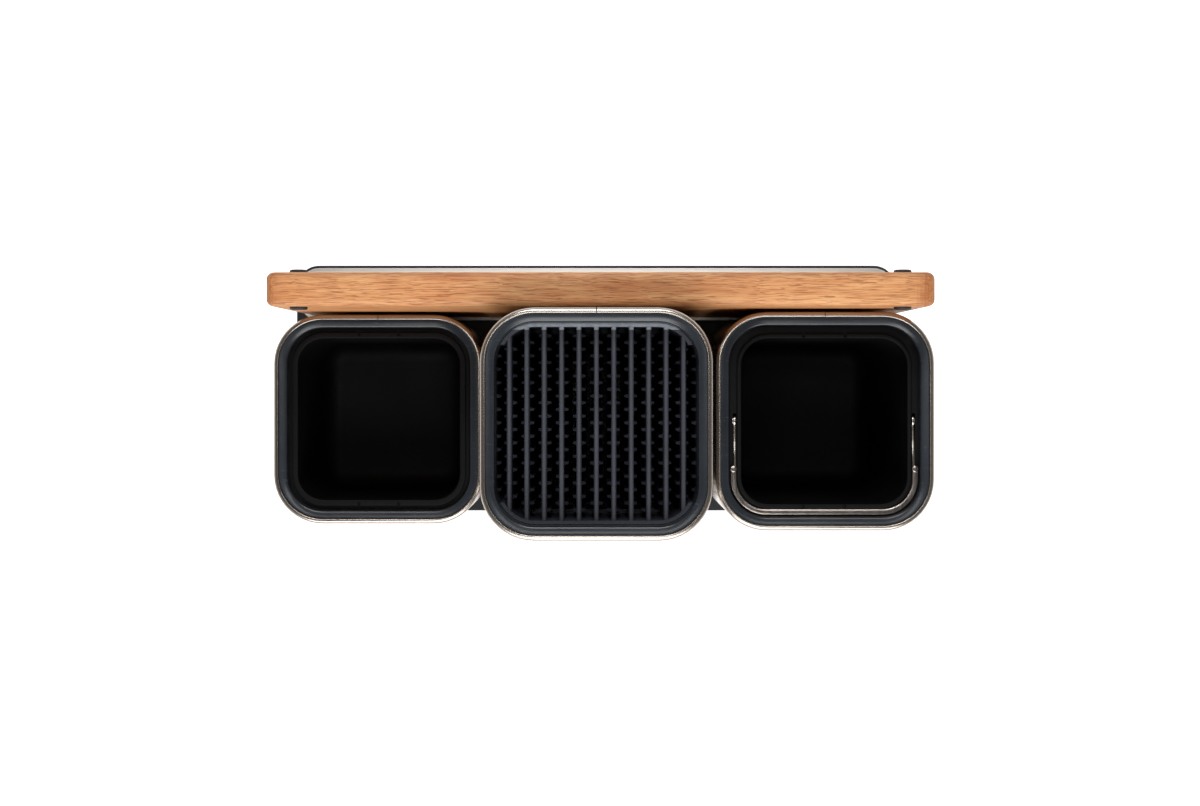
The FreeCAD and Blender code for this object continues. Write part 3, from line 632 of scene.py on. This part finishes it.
def bailPiece():
    centre, cupHalf, _, top = cupPlace("right")
    half, width, thickness = bailForm["half"], bailForm["width"], bailForm["thickness"]
    low = top - cupForm["ledgeDrop"] + linerForm["flange"] + bailForm["restGap"]
    high = low + thickness
    middle = cupHalf - cupForm["corner"]
    foldY = centre[1] - bailForm["fold"]
    bm = bmesh.new()
    # cross-section at the left fold
    verts = [bm.verts.new((centre[0] - half - u * width, foldY, z))
             for u, z in ((0, low), (1, low), (1, high), (0, high))]
    bm.faces.new(verts)
    bmesh.ops.bevel(bm, geom=bm.verts[:], offset=bailForm["stripRound"], offset_type="OFFSET",
                    segments=3, profile=0.5, affect="VERTICES", clamp_overlap=True, material=-1)
    section = list(bm.edges)
    bmesh.ops.delete(bm, geom=bm.faces[:], context="FACES_ONLY")

    def run(edges, vector):
        grown = bmesh.ops.extrude_edge_only(bm, edges=edges)["geom"]
        newVerts = [g for g in grown if isinstance(g, bmesh.types.BMVert)]
        bmesh.ops.translate(bm, vec=vector, verts=newVerts)
        ends = set(newVerts)
        return [g for g in grown if isinstance(g, bmesh.types.BMEdge) and set(g.verts) <= ends]

    def turn(edges, hub):
        grown = bmesh.ops.spin(bm, geom=edges, cent=hub, axis=(0, 0, 1), dvec=(0, 0, 0),
                               angle=math.radians(90), steps=bailForm["turnSteps"], use_merge=False,
                               use_duplicate=False)
        return [g for g in grown["geom_last"] if isinstance(g, bmesh.types.BMEdge)]

    edges = run(section, (0, -(middle - bailForm["fold"]), 0))
    edges = turn(edges, (centre[0] - middle, centre[1] - middle, 0))
    edges = run(edges, (2 * middle, 0, 0))
    edges = turn(edges, (centre[0] + middle, centre[1] - middle, 0))
    edges = run(edges, (0, middle - bailForm["fold"], 0))
    bmesh.ops.contextual_create(bm, geom=section)
    bmesh.ops.contextual_create(bm, geom=edges)
    pivotZ = top - bailForm["pivotDrop"]
    for side in (-1, 1):
        near = centre[0] + side * (half + bailForm["armInset"])
        far = near + side * bailForm["arm"]
        y0, y1 = foldY - bailForm["lap"], centre[1]
        lift = bailForm["armHeight"] / 2
        plate = [bm.verts.new((near, y, z)) for y, z in
                 ((y0, high - bailForm["armDrop"]), (y0, low), (y1, pivotZ - lift), (y1, pivotZ + lift))]
        face = bm.faces.new(plate)
        grown = bmesh.ops.extrude_face_region(bm, geom=[face])["geom"]
        tips = [g for g in grown if isinstance(g, bmesh.types.BMVert)]
        bmesh.ops.translate(bm, vec=(far - near, 0, 0), verts=tips)
        edgesOfArm = list({e for v in plate + tips for e in v.link_edges})
        bevelEdges(bm, edgesOfArm, bailForm["armEdge"], segments=2)
        addRod(bm, (near, centre[1], pivotZ), (far, centre[1], pivotZ), bailForm["eye"],
               bevel=bailForm["eyeEdge"])
        x = centre[0] + side * (half + width / 2)
        knuckleTop, knuckle = high + bailForm["knuckleRise"], bailForm["knuckle"] - bailForm["knuckleTrim"]
        addRod(bm, (x, foldY, low), (x, foldY, knuckleTop), knuckle, bevel=bailForm["knuckleEdge"])
    bmesh.ops.recalc_face_normals(bm, faces=bm.faces)
    return finishPiece("bailHandle", bm, "bail", "polished_steel", ("bail_handle",), sharp=40)


bailPiece()
print("bail handle made")


boardForm = {"corner": 6.0 * mm, "edgeRound": 4.0 * mm, "padRadius": 5.1 * mm, "padBevel": 1.0 * mm,
             "padInset": 17.5 * mm, "padEdge": 10.0 * mm}


def boardPiece():
    low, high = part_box("cutting_board")
    bm = bmesh.new()
    addBox(bm, low, high)
    # the four edges that cross the board's thickness, then the rims of both faces
    corners = [e for e in bm.edges if abs(e.verts[0].co.y - e.verts[1].co.y) > touching]
    bevelEdges(bm, corners, boardForm["corner"], segments=10)
    rims = [e for e in bm.edges if abs(e.verts[0].co.y - e.verts[1].co.y) < touching]
    bevelEdges(bm, rims, boardForm["edgeRound"], segments=6)
    return finishPiece("uprightBoard", bm, "board", "oak", ("cutting_board",))


def padPieces(name, node, face, direction):
    low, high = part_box("cutting_board")
    padLow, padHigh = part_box(node)
    reach = padHigh[1] - padLow[1]
    bm = bmesh.new()
    for x in (low[0] + boardForm["padInset"], high[0] - boardForm["padInset"]):
        for z in (low[2] + boardForm["padEdge"], high[2] - boardForm["padEdge"]):
            addRod(bm, (x, face, z), (x, face + direction * reach, z), boardForm["padRadius"], segments=40)
    tip = face + direction * reach
    rims = [e for e in bm.edges if all(abs(v.co.y - tip) < touching for v in e.verts)]
    bevelEdges(bm, rims, boardForm["padBevel"], segments=4)
    return finishPiece(name, bm, "board", "rubber", (node,))


boardPiece()
padPieces("boardFrontPads", "board_front_feet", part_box("cutting_board")[0][1], -1)
padPieces("boardRearPads", "board_rear_feet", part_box("cutting_board")[1][1], 1)
print("board made")


plainNodes = {
    # base plate in the darker slate copy, with painted shade on its rear rim
    "shaded_slate_plastic": ["base_plate"],
    "slate_plastic": ["base_cover", "board_fence", "left_floor_cap", "centre_floor_cap",
                      "right_floor_cap"],
    "insert_plastic": ["knife_core", "knife_insert_floor", "knife_insert_front_wall",
                       "knife_insert_rear_wall"]
    + [name for name in nodes if name.startswith("knife_fin")],
    "polished_steel": ["assembly_screws", "bail_rivets"],
    "tray_steel": ["drip_tray"],
    "rubber": ["base_feet"],
}
for slotName, names in plainNodes.items():
    for name in names:
        for slot in nodes[name].material_slots:
            slot.material = finishes[slotName]
print("packed nodes finished")


def stageFloor():
    # pale floor that keeps the object's shadow and reads as white wherever it is seen
    stage = {"size": 6, "base": (0.62, 0.62, 0.62, 1), "roughness": 0.9, "seen": 0.95}
    bm = bmesh.new()
    bmesh.ops.create_grid(bm, x_segments=1, y_segments=1, size=stage["size"])
    mesh = bpy.data.meshes.new("studioFloor")
    bm.to_mesh(mesh)
    bm.free()
    floor = bpy.data.objects.new("studioFloor", mesh)
    bpy.context.scene.collection.objects.link(floor)
    material = bpy.data.materials.new("whiteFloor")
    material.use_nodes = True
    tree = material.node_tree
    shader = tree.nodes["Principled BSDF"]
    setInputs(shader, Base_Color=stage["base"], Roughness=stage["roughness"])
    path = addNode(tree, "ShaderNodeLightPath", (-900, 0))
    mirrored = mathNode(tree, "MAXIMUM", path.outputs["Is Glossy Ray"], path.outputs["Is Transmission Ray"])
    seen = mathNode(tree, "MAXIMUM", path.outputs["Is Camera Ray"], mirrored)
    glow = addNode(tree, "ShaderNodeEmission", (-300, -300))
    tree.links.new(mathNode(tree, "MULTIPLY", seen, stage["seen"]), glow.inputs["Strength"])
    total = addNode(tree, "ShaderNodeAddShader", (200, 0))
    tree.links.new(shader.outputs[0], total.inputs[0])
    tree.links.new(glow.outputs[0], total.inputs[1])
    tree.links.new(total.outputs[0], tree.nodes["Material Output"].inputs["Surface"])
    floor.data.materials.append(material)


def studioWorld():
    # a dim warm room, darker overhead, and plain white behind the object
    world = bpy.data.worlds.new("studio")
    bpy.context.scene.world = world
    world.use_nodes = True
    tree = world.node_tree
    background = tree.nodes["Background"]
    place = addNode(tree, "ShaderNodeTexCoord", (-900, 0))
    split = addNode(tree, "ShaderNodeSeparateXYZ", (-700, 0))
    tree.links.new(place.outputs["Generated"], split.inputs[0])
    room = [(0.0, (0.42, 0.39, 0.36, 1)), (0.5, (0.30, 0.28, 0.26, 1)), (0.85, (0.14, 0.135, 0.13, 1)),
            (1.0, (0.08, 0.08, 0.08, 1))]
    sky = ramp(tree, split.outputs["Z"], room, (-500, 0))
    path = addNode(tree, "ShaderNodeLightPath", (-500, 300))
    colour = mixColour(tree, path.outputs["Is Camera Ray"], sky, (1, 1, 1, 1), place=(-200, 0))
    tree.links.new(colour, background.inputs["Color"])


def softbox(name, place, target, size, radiance):
    # the power follows from how bright the panel's own face is
    lamp = bpy.data.lights.new(name, "AREA")
    lamp.shape = "RECTANGLE"
    lamp.size, lamp.size_y = size
    lamp.energy = radiance * math.pi * size[0] * size[1]
    holder = bpy.data.objects.new(name, lamp)
    bpy.context.scene.collection.objects.link(holder)
    holder.location = place
    holder.rotation_euler = (Vector(target) - Vector(place)).to_track_quat("-Z", "Y").to_euler()


def takeCamera():
    # straight down, 1.24 m above the floor
    view = {"sensor": 36, "lens": 54.7, "place": (0.0, 0.0075, 1.240), "shift": (0.0030, -0.0217)}
    data = bpy.data.cameras.new("overhead")
    data.sensor_width = view["sensor"]
    data.lens = view["lens"]
    data.shift_x, data.shift_y = view["shift"]
    camera = bpy.data.objects.new("overhead", data)
    bpy.context.scene.collection.objects.link(camera)
    camera.location = view["place"]
    bpy.context.scene.camera = camera


stageFloor()
studioWorld()
# place, aim, size and radiance of each panel
softboxes = {
    "frontBox": ((0.0, -0.66, 1.30), (0, 0, 0.2), (0.42, 0.42), 6.0),
    "fillBox": ((0.0, -1.35, 1.05), (0, 0, 0.2), (1.6, 0.8), 5.5),
    "backBox": ((0.0, 1.30, 1.45), (0, 0, 0.2), (0.8, 0.6), 10.5),
    "topStrip": ((0.0, 0.20, 1.50), (0, 0.08, 0.0), (0.7, 0.14), 6.0)}
for boxName, values in softboxes.items():
    softbox(boxName, *values)
takeCamera()
bpy.context.scene.view_settings.view_transform = "Standard"
print("stage set")
